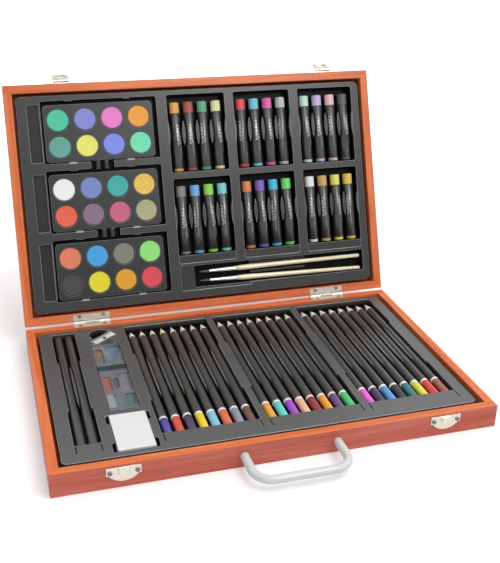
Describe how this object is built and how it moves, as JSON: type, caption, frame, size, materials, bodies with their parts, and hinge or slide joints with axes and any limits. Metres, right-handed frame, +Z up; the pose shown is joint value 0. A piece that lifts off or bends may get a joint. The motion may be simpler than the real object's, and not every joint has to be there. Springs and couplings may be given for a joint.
{
  "type": "art supply case",
  "caption": "Flat hinged wooden case with black formed trays holding pencils, paint palettes, pastels, brushes and drawing tools; front handle and two latches.",
  "frame": {"origin": "middle of the base's underside", "axes": "+Z up, +Y towards the hinges, +X to the right of someone facing the open case; the lid stands open as pictured"},
  "size_m": [0.375, 0.3721, 0.2446],
  "materials": {
    "stained_wood": "satin orange-red stain",
    "stained_panel": "satin orange-red stain",
    "tray_black": "satin formed sheet",
    "bright_metal": "bright",
    "screw_metal": "bright",
    "handle_grey": "satin",
    "pencil_black": "black paint, bare wood cone, coloured cap",
    "coloured_leads": "many colours",
    "graphite": "dark grey",
    "sharpener_grey": "matt",
    "blade_steel": "bright",
    "eraser_white": "matt",
    "mixing_clear": "glossy",
    "palette_black": "satin",
    "paint_cakes": "many colours",
    "pastel_colours": "many colours",
    "wrapper_black": "satin",
    "brush_cream": "gloss paint",
    "ferrule_metal": "bright",
    "hair_brown": "fine hair"
  },
  "bodies": {
    "base": {"base_front_board": "stained_wood", "base_rear_board": "stained_wood", "base_left_board": "stained_wood", "base_right_board": "stained_wood", "base_panel": "stained_panel", "base_tray": "tray_black", "hinge_base_leaves": "bright_metal", "hinge_pins": "bright_metal", "hinge_base_screws": "screw_metal", "handle": "handle_grey", "handle_screws": "screw_metal", "handle_washers": "screw_metal", "strike_plates": "bright_metal", "strike_screws": "screw_metal"},
    "lid": {"lid_front_board": "stained_wood", "lid_rear_board": "stained_wood", "lid_left_board": "stained_wood", "lid_right_board": "stained_wood", "lid_panel": "stained_panel", "lid_tray": "tray_black", "hinge_lid_leaves": "bright_metal", "hinge_lid_screws": "screw_metal", "latch_plates": "bright_metal", "latch_screws": "screw_metal", "latch_pins": "bright_metal"},
    "latch_flap_left": {"latch_flap_left": "bright_metal"},
    "latch_flap_right": {"latch_flap_right": "bright_metal"},
    "pencil_group_left": {"pencils_left": "pencil_black", "pencil_leads_left": "coloured_leads"},
    "pencil_group_middle": {"pencils_middle": "pencil_black", "pencil_leads_middle": "coloured_leads"},
    "pencil_group_right": {"pencils_right": "pencil_black", "pencil_leads_right": "coloured_leads"},
    "drawing_pencil_pair": {"drawing_pencils": "pencil_black", "drawing_pencil_leads": "graphite"},
    "sharpener": {"sharpener_body": "sharpener_grey", "sharpener_blade": "blade_steel", "sharpener_screw": "screw_metal"},
    "eraser_block": {"eraser": "eraser_white"},
    "mixing_dish": {"mixing_tray": "mixing_clear"},
    "paint_palette_lower": {"palette_lower": "palette_black", "cakes_lower": "paint_cakes"},
    "paint_palette_middle": {"palette_middle": "palette_black", "cakes_middle": "paint_cakes"},
    "paint_palette_upper": {"palette_upper": "palette_black", "cakes_upper": "paint_cakes"},
    "pastel_row_lower": {"pastels_lower": "pastel_colours", "pastel_wrappers_lower": "wrapper_black"},
    "pastel_row_upper": {"pastels_upper": "pastel_colours", "pastel_wrappers_upper": "wrapper_black"},
    "brush_pair": {"brush_handles": "brush_cream", "brush_ferrules": "ferrule_metal", "brush_hair": "hair_brown"}
  },
  "joints": [
    {"name": "lid_hinge", "type": "hinge", "parent": "base", "child": "lid", "pos_m": [0, 0.117, 0.02125], "axis": [1, 0, 0], "range_deg": [0, 110.72]},
    {"name": "latch_left", "type": "hinge", "parent": "lid", "child": "latch_flap_left", "pos_m": [-0.1318, 0.20319, 0.24077], "axis": [1, 0, 0], "range_deg": [0, 147]},
    {"name": "latch_right", "type": "hinge", "parent": "lid", "child": "latch_flap_right", "pos_m": [0.1386, 0.20319, 0.24077], "axis": [1, 0, 0], "range_deg": [0, 147]},
    {"name": "lift_pencils_left", "type": "slide", "parent": "base", "child": "pencil_group_left", "axis": [0, 0, 1], "range_m": [0, 0.04]},
    {"name": "lift_pencils_middle", "type": "slide", "parent": "base", "child": "pencil_group_middle", "axis": [0, 0, 1], "range_m": [0, 0.04]},
    {"name": "lift_pencils_right", "type": "slide", "parent": "base", "child": "pencil_group_right", "axis": [0, 0, 1], "range_m": [0, 0.04]},
    {"name": "lift_drawing_pencils", "type": "slide", "parent": "base", "child": "drawing_pencil_pair", "axis": [0, 0, 1], "range_m": [0, 0.04]},
    {"name": "lift_sharpener", "type": "slide", "parent": "base", "child": "sharpener", "axis": [0, 0, 1], "range_m": [0, 0.04]},
    {"name": "lift_eraser", "type": "slide", "parent": "base", "child": "eraser_block", "axis": [0, 0, 1], "range_m": [0, 0.04]},
    {"name": "lift_mixing_tray", "type": "slide", "parent": "base", "child": "mixing_dish", "axis": [0, 0, 1], "range_m": [0, 0.04]},
    {"name": "lift_palette_lower", "type": "slide", "parent": "lid", "child": "paint_palette_lower", "axis": [0, -0.9367, 0.3502], "range_m": [0, 0.04]},
    {"name": "lift_palette_middle", "type": "slide", "parent": "lid", "child": "paint_palette_middle", "axis": [0, -0.9367, 0.3502], "range_m": [0, 0.04]},
    {"name": "lift_palette_upper", "type": "slide", "parent": "lid", "child": "paint_palette_upper", "axis": [0, -0.9367, 0.3502], "range_m": [0, 0.04]},
    {"name": "lift_pastels_lower", "type": "slide", "parent": "lid", "child": "pastel_row_lower", "axis": [0, -0.9367, 0.3502], "range_m": [0, 0.04]},
    {"name": "lift_pastels_upper", "type": "slide", "parent": "lid", "child": "pastel_row_upper", "axis": [0, -0.9367, 0.3502], "range_m": [0, 0.04]},
    {"name": "lift_brushes", "type": "slide", "parent": "lid", "child": "brush_pair", "axis": [0, -0.9367, 0.3502], "range_m": [0, 0.04]}
  ]
}
